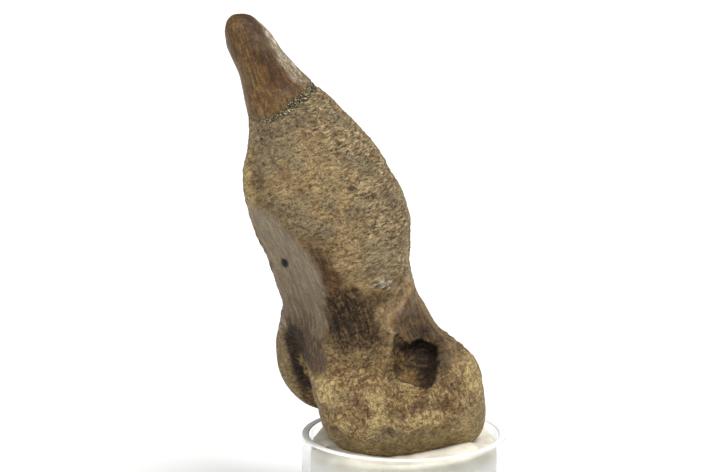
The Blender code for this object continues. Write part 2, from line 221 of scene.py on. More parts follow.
def pit(points):
    """The pit in the near roller's side: a drifted ellipsoid, turned about Y and then about Z."""
    about_y, about_z = np.radians([PIT_TURN_Y, PIT_TURN_Z])
    x, y, z = np.moveaxis(points + PIT_DRIFT*wander(points) - above_rim(PIT_CENTRE), -1, 0)
    x, y = x*np.cos(about_z) + y*np.sin(about_z), y*np.cos(about_z) - x*np.sin(about_z)
    x, z = x*np.cos(about_y) - z*np.sin(about_y), z*np.cos(about_y) + x*np.sin(about_y)
    radii = np.asarray(PIT_RADII, float)
    local = np.stack([x, y, z], -1) / radii
    size = np.linalg.norm(local, axis=-1)
    return (size - 1) * size / np.maximum(np.linalg.norm(local/radii, axis=-1), 1e-6)


def bone(points):
    """The whole bone as one field, in order: shaft, head flat, margin groove, rollers, long hollow,
    neck and dish, ridges, valley, groove inside the far rim, pit and small holes."""
    drifted = points + wander(points)
    form = carve(shaft(points), head_flat_bar(points), HEAD_FLAT_SOFTNESS)
    form = carve(form, channel(points, MARGIN_GROOVE), MARGIN_GROOVE[-1])
    ends = rounded(points, NEAR_CONDYLE)
    for lobe in (NEAR_CONDYLE_LOBE, NEAR_CONDYLE_HEEL, FAR_CONDYLE, WEB, NUB):
        ends = join(ends, rounded(points, lobe), lobe[-1])
    form = join(form, ends, CONDYLES_TO_SHAFT)
    form = carve(form, facet_bar(points), FACET_SOFTNESS)
    for hollow in (NECK_RECESS, FAR_DISH):
        form = carve(form, rounded(points, hollow), hollow[-1])
    for ridge in (NECK_RIDGE, NECK_RIDGE_FOOT):
        form = join(form, channel(drifted, ridge), ridge[-1])
    form = carve(form, channel(drifted, NECK_VALLEY), NECK_VALLEY[-1])
    form = carve(form, crescent_slot(points), CRESCENT_GROOVE[-1])
    for slope in (PIT_SLOPE, PIT_APRON):
        form = carve(form, rounded(drifted, slope), slope[-1])
    form = carve(form, pit(points), PIT_SOFTNESS)
    for lobe in (PIT_NOTCH, PIT_LOBE):
        form = carve(form, rounded(drifted, lobe), lobe[-1])
    for hole in (FORAMEN, SLIT):
        form = carve(form, rounded(points, hole), hole[-1])
    return form


# Metatarsal, net: rings of quads from the head's tip to the underside of the rollers, laid out
# from a line up the middle, evened out on the field, and then doubled twice.
CORE_HEIGHTS = (10, 20, 30, 45, 60, 75, 86.5)
CORE_X = (-7, -8.5, -11.5, -15.5, -18.5, -27.0, -32.8)
CORE_Y = (1.5, 2, 2, 1, 1, 1.8, 2.4)
HEAD_FAN = 0.12
FOOT_FAN = 0.20
FIRST_RINGS = 90
FIRST_STEPS = 64
RELAX_ROUNDS = (90, 16, 5)


def core_rays(rings, steps):
    """Rays for the net. The middle rings start on the core line and run level; the first and last
    rings fan out over a quarter turn from that line's two ends."""
    turn = np.linspace(0, 1, rings + 2)[:, None] * np.ones(steps)
    around = np.linspace(0, 2*np.pi, steps, endpoint=False) * np.ones((rings + 2, 1))
    heights = np.asarray(CORE_HEIGHTS, float) + RIM
    along = np.clip((turn - HEAD_FAN)/(1 - FOOT_FAN - HEAD_FAN), 0, 1)
    height = heights[-1] - along*(heights[-1] - heights[0])
    start = np.stack([curve(height, heights, CORE_X), curve(height, heights, CORE_Y), height], -1)
    up = np.clip((HEAD_FAN - turn)/HEAD_FAN, 0, 1) * np.pi/2
    down = np.clip((turn - 1 + FOOT_FAN)/FOOT_FAN, 0, 1) * np.pi/2
    level = np.cos(up - down)
    return start, np.stack([np.cos(around)*level, np.sin(around)*level, np.sin(up - down)], -1)


def first_crossing(field, start, way):
    """Where each ray first leaves the field: found by stepping out and then by halving."""
    reach, steps, halvings = 45.0, 110, 16
    near = np.zeros(start.shape[:-1])
    far = np.full(start.shape[:-1], reach)
    looking = np.ones(start.shape[:-1], bool)
    for step in np.linspace(0, reach, steps)[1:]:
        outside = field(start + step*way) > 0
        far = np.where(looking & outside, step, far)
        looking = looking & ~outside
        near = np.where(looking, step, near)
    for _ in range(halvings):
        middle = (near + far)/2
        outside = field(start + middle[..., None]*way) > 0
        far = np.where(outside, middle, far)
        near = np.where(outside, near, middle)
    return start + ((near + far)/2)[..., None]*way


def slopes(field, points):
    """Gradient of a field by central differences."""
    reach = 0.05
    steps = np.eye(3) * reach
    return np.stack([field(points + step) - field(points - step) for step in steps], -1) / (2*reach)


def settle(field, points):
    """Points moved onto a field's surface: each goes against the gradient by the field over its length."""
    least_slope, longest_move = 0.2, 1.0
    slope = slopes(field, points)
    steepness = np.maximum(np.linalg.norm(slope, axis=-1), least_slope)
    distance = np.clip(field(points)/steepness, -longest_move, longest_move)
    return points - (distance/steepness)[..., None]*slope


def relax(field, net, rounds):
    """Net evened out: each point goes most of the way to its four neighbours' mean, and settles back."""
    pull = 0.6
    for _ in range(rounds):
        sides = np.roll(net, 1, 1) + np.roll(net, -1, 1)
        goal = (sides[1:-1] + net[:-2] + net[2:]) / 4
        net = net.copy()
        net[1:-1] += pull*(goal - net[1:-1])
        net[0] = net[1].mean(0)
        net[-1] = net[-2].mean(0)
        net = settle(field, net)
    return net


def doubled(net):
    """Net with twice the rings and steps, the new points midway along the old lines."""
    rings, steps = net.shape[0] - 2, net.shape[1]
    at = np.linspace(0, rings + 1, 2*rings + 2)
    row = np.minimum(at.astype(int), rings)
    share = (at - row)[:, None, None]
    tall = net[row]*(1 - share) + net[row + 1]*share
    wide = np.empty((len(at), 2*steps, 3))
    wide[:, 0::2] = tall
    wide[:, 1::2] = (tall + np.roll(tall, -1, 1)) / 2
    return wide


def net_normals(net):
    """Outward unit normals of a net: the cross product of its two running differences."""
    across = np.roll(net, -1, 1) - np.roll(net, 1, 1)
    along = np.gradient(net, axis=0)
    normal = np.cross(along, across)
    normal[0] = (0, 0, 1)
    normal[-1] = (0, 0, -1)
    return normal / np.maximum(np.linalg.norm(normal, axis=-1, keepdims=True), 1e-9)


def net_mesh(name, net):
    """Closed mesh of a net whose first and last rings are each drawn together to one point."""
    rings, steps = net.shape[0] - 2, net.shape[1]
    corners = np.concatenate([net[1:-1].reshape(-1, 3), net[:1, 0], net[-1:, 0]]) * MM
    row = np.arange(rings)[:, None]*steps
    here = np.arange(steps)
    after = (here + 1) % steps
    upper, lower = row[:-1], row[1:]
    quads = np.stack([upper + here, lower + here, lower + after, upper + after], -1).reshape(-1, 4)
    top, foot = rings*steps, rings*steps + 1
    last = (rings - 1)*steps
    fans = np.concatenate([
        np.stack([np.full(steps, top), here, after], -1),
        np.stack([np.full(steps, foot), last + after, last + here], -1),
    ])
    mesh = bpy.data.meshes.new(name)
    mesh.from_pydata(corners.tolist(), [], quads.tolist() + fans.tolist())
    mesh.shade_smooth()
    piece = bpy.data.objects.new(name, mesh)
    bpy.context.scene.collection.objects.link(piece)
    return piece


def write_attribute(piece, name, values):
    """Value for each corner of a net's mesh, kept in the mesh for the material to read."""
    flat = np.concatenate([values[1:-1].ravel(), values[:1, 0], values[-1:, 0]])
    attribute = piece.data.attributes.new(name, "FLOAT", "POINT")
    attribute.data.foreach_set("value", flat.astype(np.float32))


bone_net = relax(bone, first_crossing(bone, *core_rays(FIRST_RINGS, FIRST_STEPS)), RELAX_ROUNDS[0])
for rounds in RELAX_ROUNDS[1:]:
    bone_net = relax(bone, doubled(bone_net), rounds)
bone_net = settle(bone, bone_net)
bone_normals = net_normals(bone_net)


# Metatarsal, relief and zones: fossil bone keeps the surface it had, fibrous where tendons held,
# crusted on the shaft, smooth in the hollow. Each zone is a mask from 0 to 1 at every corner, and
# the relief is pushed out along the skin. The two numbers of an ease are where a zone starts and
# where it is whole. They and the relief's heights are millimetres.
LEAN = np.radians(18.4)
SEAM_X = (-34.0, -30.4, -27.6, -24.4, -21.2, -18.0)
SEAM_HEIGHT = (70.0, 69.6, 70.6, 72.7, 75.0, 77.6)
SEAM_HALF_WIDTH = (0.35, 0.45, 0.7, 1.15, 1.45, 1.3)
BAND_X = (-19.0, -17.7, -16.0, -12.8, -8.5, -4.2, -1.1, 3.0, 7.5, 10.7, 13.9, 17.0)
BAND_HEIGHT = (12.5, 9.3, 4.6, 2.6, 2.0, 2.9, 3.8, 5.0, 5.6, 6.2, 8.4, 10.6)
HEAD_RIDGE_HEIGHT = (74, 76.2, 78.6, 84.1, 90.4)
HEAD_RIDGE_X = (-20.5, -21.9, -24.4, -27.7, -31.5)
RIDGE_HEIGHT = (18.0, 21.0, 24.0, 27.2, 30.7, 35.0)
RIDGE_X = (-1.6, -2.4, -3.6, -4.5, -1.5, 1.2)


def ease(value, low, high):
    """0 below low, 1 above high, and a smooth S between."""
    share = np.clip((value - low)/(high - low), 0, 1)
    return share*share*(3 - 2*share)


DIRECTIONS = 256
CELL_PRIMES = (73856093, 19349663, 83492791)
SHUFFLE = 1274126177
NOISE_GAIN = 1.6


def noise(points, size, seed):
    """Gradient noise, about -1 to 1: at each corner of a cube of the given size in millimetres a
    random direction is dotted with the offset from it, and the eight are blended by a quintic."""
    ways = np.random.default_rng(seed).normal(size=(DIRECTIONS, 3))
    ways /= np.linalg.norm(ways, axis=1, keepdims=True)
    cell = points / np.asarray(size, float)
    base = np.floor(cell).astype(np.int64)
    part = cell - base
    blend = part**3 * (part*(part*6 - 15) + 10)
    total = 0
    for corner in np.ndindex(2, 2, 2):
        at = (base + corner) * CELL_PRIMES
        pick = at[..., 0] ^ at[..., 1] ^ at[..., 2]
        pick = (pick ^ (pick >> 13)) * SHUFFLE
        way = ways[(pick ^ (pick >> 16)) & (DIRECTIONS - 1)]
        weight = np.where(corner, blend, 1 - blend).prod(-1)
        total = total + weight*(way*(part - corner)).sum(-1)
    return total * NOISE_GAIN


def layered(points, size, seed, layers=3):
    """Noise at a size, half the size and so on, each layer half as strong."""
    size = np.asarray(size, float)
    return sum(noise(points, size/2**i, seed + i)/2**i for i in range(layers))


def along_bone(points):
    """Points turned about Y so that the third axis runs up the leaning bone."""
    x, y, z = np.moveaxis(points, -1, 0)
    return np.stack([x*np.cos(LEAN) + z*np.sin(LEAN), y, z*np.cos(LEAN) - x*np.sin(LEAN)], -1)


x, y, z = np.moveaxis(bone_net, -1, 0)
z = z - RIM
front = ease(-bone_normals[..., 1], -0.1, 0.4)
run = along_bone(bone_net)
blur = layered(bone_net, 3.0, 11)

# The mended break, the head above it, and the flat on the head's right, whose pale streaks are a
# painted highlight along its grain.
seam_at = np.clip(x, SEAM_X[0], SEAM_X[-1])
seam_off = z - curve(seam_at, SEAM_X, SEAM_HEIGHT) + 0.35*noise(bone_net, 1.6, 3)
seam_half = curve(seam_at, SEAM_X, SEAM_HALF_WIDTH) * (1 + 0.45*noise(bone_net, 2.4, 5))
seam = 1 - ease(np.abs(seam_off), seam_half - 0.35, seam_half + 0.25)
seam = seam * (0.8 + 0.2*ease(x, -30, -25))
head = ease(seam_off, -0.3, 0.3)
ridge_at = np.clip(z, HEAD_RIDGE_HEIGHT[0], HEAD_RIDGE_HEIGHT[-1])
head_ridge = curve(ridge_at, HEAD_RIDGE_HEIGHT, HEAD_RIDGE_X)
head_flat_highlight = head * ease(x - head_ridge + 0.5*blur, -0.5, 0.5) * ease(bone_normals[..., 0], 0.0, 0.4)

# Long smooth hollow, and the dark brow along its right edge, darker partly for its own stone and
# partly as painted shade where the wall overhangs the hollow.
from_facet = facet_bar(bone_net) + 0.35*blur
facet_edge = 0.9 + 1.0*ease(z, 34, 46)
facet = (1 - ease(from_facet, 0.2, facet_edge)) * ease(z + blur - (x + 16), 15.2, 18.6) * (1 - head)
brow = (1 - ease(np.abs(from_facet - 1.6 + 0.8*blur), 0.9, 3.9)) * (1 - 0.8*ease(z + 2*blur, 38, 54))
brow = brow * ease(z, 19, 26) * (1 - ease(z, 52, 57))

# Pit, groove inside the far rim, and small holes. Their dark colours are painted shade down in them,
# the groove's over its own darker fill; the pit's floor is painted lighter where light falls on it.
wandered = bone_net + wander(bone_net)
pit_field = np.minimum(pit(bone_net), rounded(wandered, PIT_NOTCH))
in_lobe = 1 - ease(rounded(wandered, PIT_LOBE) + 0.2*blur, 0.1, 1.1)
in_pit = np.maximum(1 - ease(pit_field + 0.2*blur, 0.05, 0.6), in_lobe)
in_groove = (1 - ease(crescent_slot(bone_net) + 0.3*blur, 0.6, 2.2)) * ease(-x, 15, 17)
in_groove = in_groove * ease(y + blur, -3.8, 0.0)
# The small holes are painted near-black as shade inside them.
in_foramen = 1 - ease(rounded(bone_net, FORAMEN), 0.05, 0.4)
in_slit = 1 - ease(rounded(bone_net, SLIT), 0.02, 0.3)
holes = np.maximum(in_foramen, 0.8*in_slit)

# Smooth olive band along the foot of the rollers, the lip above it, and the crusted rest.
band_top = curve(np.clip(x, BAND_X[0], BAND_X[-1]), BAND_X, BAND_HEIGHT)
near_band = 1 - ease(z - band_top + 0.9*blur + 0.4*noise(bone_net, 1.2, 9), -0.9, 0.9)
lip_edge = front * (1 - ease(np.abs(z - band_top - 0.9 + 0.4*blur), 0.2, 1.4))
lip_edge = lip_edge * ease(x, -4, 0) * (1 - ease(x, 9, 12))
crescent = ease(y, 1.5, 4.0) * ease(-x, 17, 20) * ease(24 - z + blur, 0, 4)
band = np.maximum(near_band, crescent) * (1 - in_groove) * (1 - facet)
lower = 1 - ease(z + 1.5*blur, 17, 25)
condyle = lower * (1 - band) * (1 - facet) * (1 - in_groove) * (1 - in_pit)

# Neck with its fibres, darker partly for its own dark stone and partly as painted shade in the recess;
# the ridge at its right, the shoulder beyond, and the small ledge above, painted pale on top as a
# highlight.
past_ridge = x - curve(np.clip(z, RIDGE_HEIGHT[0], RIDGE_HEIGHT[-1]), RIDGE_HEIGHT, RIDGE_X) + 0.5*blur
neck = front * ease(z + 2.5*blur, 15, 25) * (1 - ease(z + 2.2*blur - 0.25*x, 33.0, 38.5))
neck = neck * ease(x + 1.5*blur, -20.5, -14.5)
neck = neck * (1 - ease(past_ridge + 0.8*blur, -3.0, 0.4)) * (1 - in_pit) * (1 - 0.8*facet)
ridge = front * (1 - ease(np.abs(past_ridge + 0.5), 0.5, 2.8)) * ease(z + blur, 22, 28)
ridge = ridge * (1 - ease(z, 33, 36)) * (1 - in_pit)
shoulder = front * ease(past_ridge, 0.8, 2.2) * ease(z + blur - 0.4*np.maximum(x - 4, 0), 15.5, 19)
shoulder = shoulder * (1 - ease(z + blur, 31, 35)) * (1 - in_pit)
in_slope = front * (1 - ease(rounded(bone_net, PIT_SLOPE) + 0.4*blur, -0.2, 1.2)) * (1 - in_pit)
# The ledge's top is painted pale as a highlight.
ledge_and_highlights = front * (1 - ease(np.abs(z - 34.9 + 0.12*(x + 5)) + 0.4*blur, 0.3, 1.6))
ledge_and_highlights = ledge_and_highlights * ease(x, -8.5, -6) * (1 - ease(x, -3.8, -1.2))

# Crusted shaft, its smoother waist behind, the groove and pale margin at its left, and its flank.
rough_height = z + blur + 2.0*(1 - front)*blur
rough = (1 - head) * (1 - seam) * (1 - facet)
rough = rough * ease(rough_height, 33 - 3*(1 - front), 38 + 3*(1 - front))
waist = (1 - facet) * (1 - in_pit) * (1 - 0.8*front)
waist = waist * ease(z + 2*blur, 15, 23) * (1 - ease(z + 2*blur, 30, 40))
trough = rough * front * (1 - ease(channel(bone_net, MARGIN_GROOVE) + 0.4*blur, 0.1, 1.4))
trough = trough * (0.25 + 0.75*ease(z + blur, 53, 59))
margin = rough * front * (1 - ease(x + 32.3 + 0.6*blur, -0.6, 0.8))
margin = margin * (1 - 0.45*ease(z, 59, 63)) * (1 - ease(z, 66, 70))
right_edge = curve(z, np.asarray(SHAFT_HEIGHTS, float), SHAFT_RIGHT)
flank = rough * front * ease(x - right_edge + 2*blur, -14, -5)
wrinkled = flank * (1 - ease(z, 63, 70)) * ease(z, 37, 41)


def spots(places):
    """Sum of soft round spots on the front: each is (x, height, radius), ragged by noise."""
    total = 0
    for spot_x, spot_z, radius in places:
        away = np.hypot(x - spot_x, z - spot_z)/radius + 0.6*blur
        total = total + 1 - ease(away, 0.1, 1.5)
    return np.maximum(front, 1 - ease(y, -3.5, -1)) * np.clip(total, 0, 1)


# Patches that the zones alone don't give, as (x, height, radius) of soft round spots.
RUBBED = ((-17.0, 13.7, 2.4), (-15.9, 10.9, 2.2), (-12.7, 5.5, 1.8), (-6.1, 11.2, 1.9),
          (-6.4, 7.6, 2.1), (-7.6, 4.6, 1.5), (0.3, 14.2, 2.1), (1.5, 6.6, 1.5), (4.2, 6.9, 1.6),
          (6.9, 7.3, 1.6), (14.2, 17.6, 2.0), (15.0, 13.6, 2.3))
UMBER = ((-16.6, 4.0, 2.2), (-12.4, 1.4, 1.8), (-10.5, 11.2, 1.5), (9.7, 14.3, 2.3), (8.8, 9.9, 1.7),
         (3.0, 10.5, 1.5), (-3.1, 19.4, 1.5), (-13.4, 4.0, 1.2), (-3.1, 4.2, 1.1))
NECK_CORE = ((-4.6, 23.6, 2.0), (-12.2, 28.7, 3.4), (-11.6, 24.8, 3.3), (-12.4, 31.8, 2.6),
             (-15.4, 31.0, 2.4), (-12.8, 21.6, 2.2), (-8.4, 25.0, 2.4), (-8.4, 22.2, 2.0),
             (-15.4, 27.0, 2.0))
NECK_FOOT_SHADE = ((-11.2, 24.4, 2.6), (-8.2, 24.2, 2.4), (-14.4, 25.4, 2.0))
CLAY = ((-10.4, 51.5, 2.0), (-3.2, 53.0, 2.6), (-24.0, 62.0, 2.6), (-5.0, 41.0, 3.4),
        (-17.5, 47.5, 3.0), (-16.2, 53.4, 2.2), (-22.0, 50.0, 2.8), (-27.0, 52.4, 2.8),
        (-31.2, 68.0, 2.8), (-28.0, 65.0, 3.8), (-24.6, 68.2, 2.6), (-30.0, 61.0, 3.0),
        (-31.6, 65.0, 2.6), (-31.0, 67.4, 2.4), (-26.2, 69.0, 2.0), (-22.0, 70.8, 2.4))
# Painted shade on the slope down into the pit, and painted light on the pit's floor.
PIT_SHADE = ((1.8, 24.0, 1.4), (4.6, 22.8, 1.5), (7.4, 20.4, 1.6), (8.8, 17.6, 1.5))
PIT_FLOOR_LIGHT = ((0.3, 15.4, 3.0), (-1.6, 19.4, 1.7), (-0.6, 23.2, 1.2))
BROW_SPOT = ((-14.6, 37.0, 2.2),)
# Painted highlights: small white glints on the far roller's shoulder.
PAINTED_GLINTS = ((-26.0, 23.6, 0.9), (-26.5, 21.8, 0.7))
HEAD_SPOT = ((-33.6, 82.4, 2.6),)
# A painted sheen: a lighter strip that eases the painted shade at the hollow's foot.
SHEEN_STRIP = ((-18.6, 30.0, 1.8), (-18.6, 27.0, 1.8), (-18.5, 24.0, 1.6))

ochre = 0.95 * condyle * spots(RUBBED)
umber = 0.65 * np.maximum(condyle, band) * spots(UMBER) * (1 - ochre)
neck = np.clip(0.75*neck + 0.7*spots(NECK_CORE), 0, 1)
neck = neck * (1 - in_pit) * (1 - 0.8*facet) * (1 - 0.7*ridge)
# The recess's foot is darker still: partly dark stone, partly painted shade.
neck_foot_shade = spots(NECK_FOOT_SHADE) * neck
clay = spots(CLAY) * rough * (1 - margin)
pit_shade = spots(PIT_SHADE) * (1 - in_pit)
brow = np.maximum(brow, 0.7*spots(BROW_SPOT))
ledge_and_highlights = np.maximum(ledge_and_highlights, 0.8*spots(PAINTED_GLINTS))

# Crumbs of ochre crust along the groove, and the groove's wider head, both leaning with it.
in_gap = ease(y, 0.5, 2.5) * (1 - ease(y, 5.5, 8))
crumbs = np.hypot((x + 21.0 + 0.45*(z - 13.5))/1.4, (z - 13.5)/4.0)
crumbs = (1 - ease(crumbs + 0.6*blur, 0.4, 1.2)) * in_gap
groove_head = np.hypot((x + 23.9 + 0.6*(z - 19.2))/1.2, (z - 19.2)/3.2)
groove_head = (1 - ease(groove_head + 0.4*blur, 0.5, 1.3)) * in_gap
in_groove = np.maximum(in_groove, groove_head)

# Textures of the relief: crust, grit, fibres, cross wrinkles, broad lumps, and open pores.
crust = np.abs(layered(bone_net, 1.7, 21)) - 0.28
grit = np.abs(noise(bone_net, 1.0, 31)) - 0.3
fibres = layered(run, (1.0, 1.0, 6.0), 41)
wrinkles = noise(run + 0.9*blur[..., None], (6.0, 6.0, 1.0), 51)
lumps = noise(bone_net, 5.0, 61)
sponge = -ease(noise(bone_net, (1.4, 1.4, 2.3), 71), 0.15, 0.6)

relief = (
    rough * (0.26*crust + 0.16*grit + 0.30*lumps)
    + wrinkled * 0.42*wrinkles
    + ledge_and_highlights * 0.45
    + lip_edge * 0.4
    + ridge * (0.24*crust + 0.2*lumps)
    + facet * (0.05*fibres + 0.12*lumps)
    + head * (0.10*fibres + 0.16*lumps)
    + seam * (0.45*grit - 0.15)
    + neck * (0.22*fibres + 0.12*lumps)
    + condyle * (0.26*crust + 0.30*sponge + 0.32*lumps + 0.12*fibres + 0.12 + 0.45*ochre - 0.7*umber)
    + band * (0.10*crust + 0.18*lumps + 0.3*ease(x, 9, 13))
    + in_pit * (0.55*crust + 0.3*lumps)
    + in_groove * (0.45*crust + 0.15*lumps)
    + crumbs * (0.5*crust + 0.2)
    + shoulder * (0.12*fibres + 0.15*lumps)
    + waist * (0.18*crust + 0.16*fibres + 0.25*lumps)
    - trough * 0.15
)
bone_net = bone_net + relief[..., None]*bone_normals

metatarsal = net_mesh("fossil_metatarsal", bone_net)
cavity = np.clip(0.5 - 1.4*relief, 0, 1)
beside_ridge = np.abs(x - head_ridge + 2.4 + 0.8*blur)
head_dark = head * (1 - ease(beside_ridge, 1.0, 3.2)) * ease(z + blur, 72.5, 78)
coarse = rough + 0.8*waist + 0.9*condyle + 0.8*neck + seam + in_pit + in_groove + crumbs
coarse = coarse + 0.7*band + 0.3*head + 0.25*facet
zones = {
    "waist": waist,
    "flank": np.clip((0.60 - 0.35*front)*rough + 0.8*flank, 0, 1),
    "margin": margin,
    "trough": trough,
    "clay": clay,
    "condyle": condyle,
    "ochre": ochre,
    "band": band,
    "umber": umber,
    "brow": brow,
    "neck": neck,
    "neck_foot_shade": neck_foot_shade,
    "shoulder": np.maximum(shoulder, 0.9*in_slope),
    "ridge": ridge,
    "ledge_and_highlights": ledge_and_highlights,
    "facet": facet,
    "facet_foot_shade": facet * (1 - ease(z + blur, 17, 38)) * (1 - 0.65*spots(SHEEN_STRIP)),
    "groove": in_groove,
    "groove_floor": in_groove * (1 - ease(z + blur, 5, 10)),
    "crumbs": crumbs,
    "pit_shade": pit_shade,
    "pit": in_pit,
    "pit_floor_light": in_pit * spots(PIT_FLOOR_LIGHT),
    "head": head,
    "head_dark": head_dark + 0.35*head*spots(HEAD_SPOT),
    "head_flat_highlight": head_flat_highlight * (0.3 + 0.7*ease(z, 76, 85)),
    "seam": seam,
    "holes": holes,
    "cavity": cavity,
    "stained": np.clip(rough + condyle + 0.8*band + 0.5*head - clay - ochre - neck, 0, 1),
    "grooved": np.clip(condyle + 0.8*waist + 0.5*ridge, 0, 1),
    "coarse": np.clip(coarse, 0, 1),
}
for zone, values in zones.items():
    write_attribute(metatarsal, zone, values)


# Metatarsal, stone: permineralised bone, apatite with iron, so golden brown, darker where iron
# filled the pores. Preparators brush and consolidate it, which leaves the crusted parts dull, and
# the hollow and the head with a low polish.

def linear(code):
    """sRGB hex colour as linear red, green, blue and a full alpha."""
    values = np.array([int(code[i:i + 2], 16) for i in (0, 2, 4)]) / 255
    values = np.where(values <= 0.04045, values/12.92, ((values + 0.055)/1.055)**2.4)
    return (*values.tolist(), 1.0)


def add(tree, kind, inputs=(), stops=(), **settings):
    """Node with its settings, its inputs filled with values or links, and its ramp's colour stops."""
    node = tree.nodes.new(kind)
    for name, value in settings.items():
        setattr(node, name, value)
    for socket, value in dict(inputs).items():
        if isinstance(value, bpy.types.NodeSocket):
            tree.links.new(value, node.inputs[socket])
        else:
            node.inputs[socket].default_value = value
    for i, (position, code) in enumerate(stops):
        stop = node.color_ramp.elements[i] if i < 2 else node.color_ramp.elements.new(position)
        stop.position = position
        stop.color = linear(code)
    return node


def new_material(name):
    """A new node material, its tree and its Principled shader."""
    material = bpy.data.materials.new(name)
    material.use_nodes = True
    tree = material.node_tree
    return material, tree, tree.nodes["Principled BSDF"]


# Noise patterns: the space each is drawn in, the size of its largest lumps in millimetres, detail,
# roughness and distortion. Pores, grain, fibres and veins are a tenth of a millimetre or less in
# the real stone, too fine to show, so they are drawn at 0.36 to 0.62 mm.
STONE_PATTERNS = (
    ("patches", "here", 6.0, 3.0, 0.6, 0.0),
    ("stains", "here", 2.6, 3.0, 0.6, 0.0),
    ("pores", "widened", 0.62, 3.0, 0.65, 0.5),
    ("grain", "here", 0.36, 2.0, 0.7, 0.0),
    ("fibre", "fibrous", 0.62, 4.0, 0.65, 0.0),
    ("folds", "folded", 0.42, 2.0, 0.5, 0.0),
    ("veins", "veined", 0.62, 4.0, 0.72, 0.0),
)
# A stretch under 1 draws a pattern out that way. Swerve and bend are how far the folds, veins and
# cracks wander, and over what length.
PORE_STRETCH = 0.6
FIBRE_STRETCH = 0.10
FOLD_STRETCH = 0.27
VEIN_STRETCH = 0.45
SWERVE_SIZE = 3.5
SWERVE = 2.2
CRACK_SIZE = 0.5
CRACK_EDGE = 0.35
CRACK_BEND_SIZE = 1.3
CRACK_BEND = 0.9

# Bump heights: cracks and pores, fibres, folds and veins.
CRACK_DEPTH = 0.45*MM
FIBRE_DEPTH = 0.12*MM
FOLD_DEPTH = 0.40*MM
VEIN_DEPTH = 0.50*MM

stone, tree, shader = new_material("permineralised_bone")
here = add(tree, "ShaderNodeTexCoord").outputs["Object"]
upright = add(tree, "ShaderNodeMapping", {"Vector": here, "Rotation": (0, LEAN, 0)}).outputs[0]
swerve = add(tree, "ShaderNodeTexNoise", {"Vector": here, "Scale": 1/(SWERVE_SIZE*MM)})
swerved = add(tree, "ShaderNodeVectorMath", {
    0: swerve.outputs["Color"], 1: (SWERVE*MM,)*3, 2: upright}, operation="MULTIPLY_ADD").outputs[0]

# Each space is the leaning bone's own, or the swerved one, drawn out along or across the bone.
spaces = {"here": here}
for space, source, stretch in (
    ("widened", upright, (PORE_STRETCH, PORE_STRETCH, 1)),
    ("fibrous", upright, (1, 1, FIBRE_STRETCH)),
    ("folded", swerved, (FOLD_STRETCH, FOLD_STRETCH, 1)),
    ("veined", swerved, (1, 1, VEIN_STRETCH)),
):
    spaces[space] = add(tree, "ShaderNodeMapping", {"Vector": source, "Scale": stretch}).outputs[0]

pattern = {}
for name, space, size, detail, roughness, distortion in STONE_PATTERNS:
    pattern[name] = add(tree, "ShaderNodeTexNoise", {
        "Vector": spaces[space], "Scale": 1/(size*MM), "Detail": detail,
        "Roughness": roughness, "Distortion": distortion}).outputs["Fac"]

# Cracks run along the edges between cells, in a space that bends so that they aren't straight.
bend = add(tree, "ShaderNodeTexNoise", {"Vector": here, "Scale": 1/(CRACK_BEND_SIZE*MM)})
bent = add(tree, "ShaderNodeVectorMath", {
    0: bend.outputs["Color"], 1: (CRACK_BEND*MM,)*3, 2: here}, operation="MULTIPLY_ADD").outputs[0]
crack = add(tree, "ShaderNodeTexVoronoi", {"Vector": bent, "Scale": 1/(CRACK_SIZE*MM)},
            feature="DISTANCE_TO_EDGE")
pattern["crack"] = crack.outputs["Distance"]

masks = {}
for zone in zones:
    masks[zone] = add(tree, "ShaderNodeAttribute", attribute_name=zone).outputs["Fac"]

# Numbers blended from two others: name, share of the second, first and second.
STONE_BLENDS = (
    ("broad", 0.4, "patches", "stains"),
    ("fine", 0.4, "pores", "grain"),
    ("mottle", 0.55, "broad", "fine"),
    ("fibrous", 0.3, "fibre", "grain"),
    ("speckle", 0.5, "stains", "grain"),
    ("rippled", 0.35, "folds", "speckle"),
)
for name, share, first, second in STONE_BLENDS:
    blend = {"Factor": share, 2: pattern[first], 3: pattern[second]}
    pattern[name] = add(tree, "ShaderNodeMix", blend).outputs[0]

# Iron fills the relief's own hollows, so they are darker.
HOLLOW_SHADE = 0.11
shaded = {0: masks["cavity"], 1: -HOLLOW_SHADE, 2: pattern["mottle"]}
pattern["mottle"] = add(tree, "ShaderNodeMath", shaded, operation="MULTIPLY_ADD").outputs[0]

# Ranges of those numbers that are carried onto 0 to 1, for the colour ramps.
for name, source, low, high in (
    ("tone", "mottle", 0.27, 0.57),
    ("streak", "fibrous", 0.34, 0.66),
    ("wave", "rippled", 0.38, 0.60),
    ("vein_tone", "veins", 0.36, 0.62),
    ("grit_tone", "grain", 0.36, 0.64),
    ("iron_stain", "stains", 0.52, 0.62),
    ("clay_stain", "patches", 0.53, 0.66),
    ("crack_tone", "crack", 0.0, CRACK_EDGE),
    ("pore_tone", "pores", 0.36, 0.60),
):
    carried = {"Value": pattern[source], "From Min": low, "From Max": high}
    pattern[name] = add(tree, "ShaderNodeMapRange", carried).outputs[0]

# Blends of the carried numbers, laid out as before.
for name, share, first, second in (
    ("veined", 0.55, "tone", "vein_tone"),
    ("stringy", 0.3, "streak", "tone"),
    ("crackle", 0.5, "crack_tone", "pore_tone"),
    ("roughened", 0.35, "crackle", "grain"),
):
    blend = {"Factor": share, 2: pattern[first], 3: pattern[second]}
    pattern[name] = add(tree, "ShaderNodeMix", blend).outputs[0]

